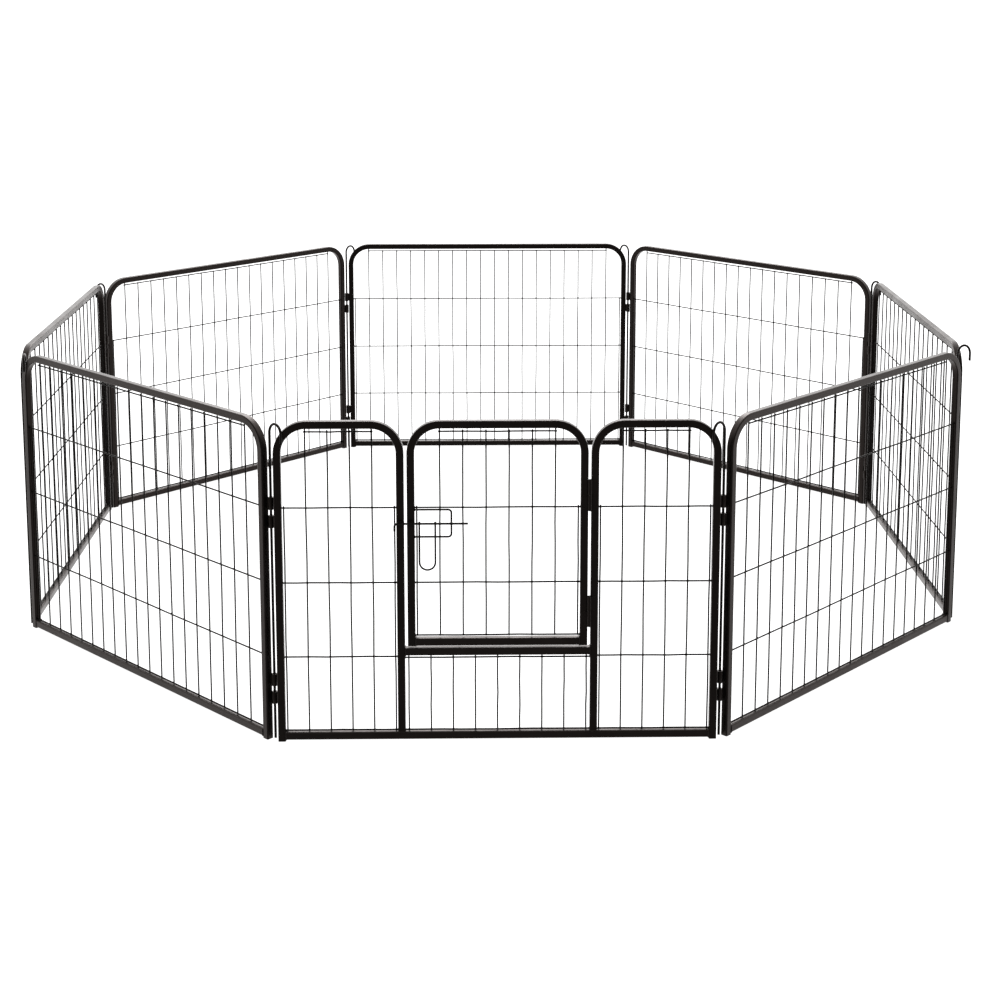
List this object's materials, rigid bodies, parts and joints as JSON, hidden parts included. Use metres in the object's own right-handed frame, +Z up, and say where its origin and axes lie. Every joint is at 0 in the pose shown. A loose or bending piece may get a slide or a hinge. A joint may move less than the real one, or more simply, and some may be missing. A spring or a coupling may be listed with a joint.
{
  "type": "pet playpen",
  "caption": "Folding octagonal pet playpen of tube-framed wire panels joined by lift-out hook pins, with a side-hinged door and sliding bolt latch in the front panel.",
  "frame": {"origin": "middle of the pen at floor level, with the panels standing as a regular octagon", "axes": "+Z up; -Y towards the front panel that holds the door; +X to the right for someone facing the door from outside"},
  "size_m": [2.01, 2.0025, 0.6059],
  "materials": {
    "frame_coat": "dark charcoal brown satin powder coat on square tube",
    "wire_coat": "dark satin powder coat on round wire",
    "pin_coat": "dark powder coat, rubbed smoother where the pins run in their sleeves",
    "latch_coat": "dark powder coat, slightly glossy from handling"
  },
  "bodies": {
    "front_panel": {"front_left_frame": "frame_coat", "front_right_frame": "frame_coat", "front_bottom_rail": "frame_coat", "door_sill_bar": "frame_coat", "front_left_wire_grid": "wire_coat", "front_right_wire_grid": "wire_coat", "front_lower_wire_grid": "wire_coat", "door_lower_hinge_frame_leaf": "frame_coat", "door_upper_hinge_frame_leaf": "frame_coat", "door_lower_hinge_pin": "latch_coat", "door_upper_hinge_pin": "latch_coat", "bolt_keeper": "frame_coat"},
    "right_front_panel": {"right_front_frame": "frame_coat", "right_front_bottom_rail": "frame_coat", "right_front_wire_grid": "wire_coat"},
    "right_panel": {"right_frame": "frame_coat", "right_bottom_rail": "frame_coat", "right_wire_grid": "wire_coat"},
    "right_back_panel": {"right_back_frame": "frame_coat", "right_back_bottom_rail": "frame_coat", "right_back_wire_grid": "wire_coat"},
    "back_panel": {"back_frame": "frame_coat", "back_bottom_rail": "frame_coat", "back_wire_grid": "wire_coat"},
    "left_back_panel": {"left_back_frame": "frame_coat", "left_back_bottom_rail": "frame_coat", "left_back_wire_grid": "wire_coat"},
    "left_panel": {"left_frame": "frame_coat", "left_bottom_rail": "frame_coat", "left_wire_grid": "wire_coat"},
    "left_front_panel": {"left_front_frame": "frame_coat", "left_front_bottom_rail": "frame_coat", "left_front_wire_grid": "wire_coat"},
    "door": {"door_frame": "frame_coat", "door_bottom_rail": "frame_coat", "door_wire_grid": "wire_coat", "door_lower_hinge_door_leaf": "frame_coat", "door_upper_hinge_door_leaf": "frame_coat", "latch_loop": "latch_coat", "bolt_guide": "frame_coat"},
    "latch_bolt": {"latch_bolt": "latch_coat"},
    "latch_handle": {"latch_handle": "latch_coat"},
    "hook_pin_1": {"hook_pin_1": "pin_coat"},
    "hook_pin_2": {"hook_pin_2": "pin_coat"},
    "hook_pin_3": {"hook_pin_3": "pin_coat"},
    "hook_pin_4": {"hook_pin_4": "pin_coat"},
    "hook_pin_5": {"hook_pin_5": "pin_coat"},
    "hook_pin_6": {"hook_pin_6": "pin_coat"},
    "hook_pin_7": {"hook_pin_7": "pin_coat"},
    "hook_pin_8": {"hook_pin_8": "pin_coat"}
  },
  "joints": [
    {"name": "corner_1_fold", "type": "hinge", "parent": "front_panel", "child": "right_front_panel", "pos_m": [0.406, -0.98017, 0.3], "axis": [0, 0, 1], "range_deg": [-88, 88]},
    {"name": "corner_2_fold", "type": "hinge", "parent": "right_front_panel", "child": "right_panel", "pos_m": [0.98017, -0.406, 0.3], "axis": [0, 0, 1], "range_deg": [-88, 88]},
    {"name": "corner_3_fold", "type": "hinge", "parent": "right_panel", "child": "right_back_panel", "pos_m": [0.98017, 0.406, 0.3], "axis": [0, 0, 1], "range_deg": [-88, 88]},
    {"name": "corner_4_fold", "type": "hinge", "parent": "right_back_panel", "child": "back_panel", "pos_m": [0.406, 0.98017, 0.3], "axis": [0, 0, 1], "range_deg": [-88, 88]},
    {"name": "corner_8_fold", "type": "hinge", "parent": "front_panel", "child": "left_front_panel", "pos_m": [-0.406, -0.98017, 0.3], "axis": [0, 0, -1], "range_deg": [-88, 88]},
    {"name": "corner_7_fold", "type": "hinge", "parent": "left_front_panel", "child": "left_panel", "pos_m": [-0.98017, -0.406, 0.3], "axis": [0, 0, -1], "range_deg": [-88, 88]},
    {"name": "corner_6_fold", "type": "hinge", "parent": "left_panel", "child": "left_back_panel", "pos_m": [-0.98017, 0.406, 0.3], "axis": [0, 0, -1], "range_deg": [-88, 88]},
    {"name": "door_swing", "type": "hinge", "parent": "front_panel", "child": "door", "pos_m": [0.165, -0.99797, 0.3555], "axis": [0, 0, 1], "range_deg": [0, 165]},
    {"name": "bolt_slide", "type": "slide", "parent": "door", "child": "latch_bolt", "axis": [1, 0, 0], "range_m": [0, 0.0215]},
    {"name": "handle_turn", "type": "hinge", "parent": "latch_bolt", "child": "latch_handle", "pos_m": [-0.1258, -0.99837, 0.4127], "axis": [-1, 0, 0], "range_deg": [0, 170]},
    {"name": "hook_pin_1_lift", "type": "slide", "parent": "front_panel", "child": "hook_pin_1", "axis": [0, 0, 1], "range_m": [0, 0.47]},
    {"name": "hook_pin_2_lift", "type": "slide", "parent": "right_panel", "child": "hook_pin_2", "axis": [0, 0, 1], "range_m": [0, 0.47]},
    {"name": "hook_pin_3_lift", "type": "slide", "parent": "right_panel", "child": "hook_pin_3", "axis": [0, 0, 1], "range_m": [0, 0.47]},
    {"name": "hook_pin_4_lift", "type": "slide", "parent": "back_panel", "child": "hook_pin_4", "axis": [0, 0, 1], "range_m": [0, 0.47]},
    {"name": "hook_pin_5_lift", "type": "slide", "parent": "back_panel", "child": "hook_pin_5", "axis": [0, 0, 1], "range_m": [0, 0.47]},
    {"name": "hook_pin_6_lift", "type": "slide", "parent": "left_panel", "child": "hook_pin_6", "axis": [0, 0, 1], "range_m": [0, 0.47]},
    {"name": "hook_pin_7_lift", "type": "slide", "parent": "left_front_panel", "child": "hook_pin_7", "axis": [0, 0, 1], "range_m": [0, 0.47]},
    {"name": "hook_pin_8_lift", "type": "slide", "parent": "front_panel", "child": "hook_pin_8", "axis": [0, 0, 1], "range_m": [0, 0.47]}
  ],
  "couplings": [
    {"joint": "corner_2_fold", "follows": "corner_1_fold", "ratio": -1},
    {"joint": "corner_6_fold", "follows": "corner_1_fold", "ratio": -1},
    {"joint": "corner_4_fold", "follows": "corner_3_fold", "ratio": -1},
    {"joint": "corner_7_fold", "follows": "corner_3_fold", "ratio": 1},
    {"joint": "corner_8_fold", "follows": "corner_3_fold", "ratio": -1}
  ]
}
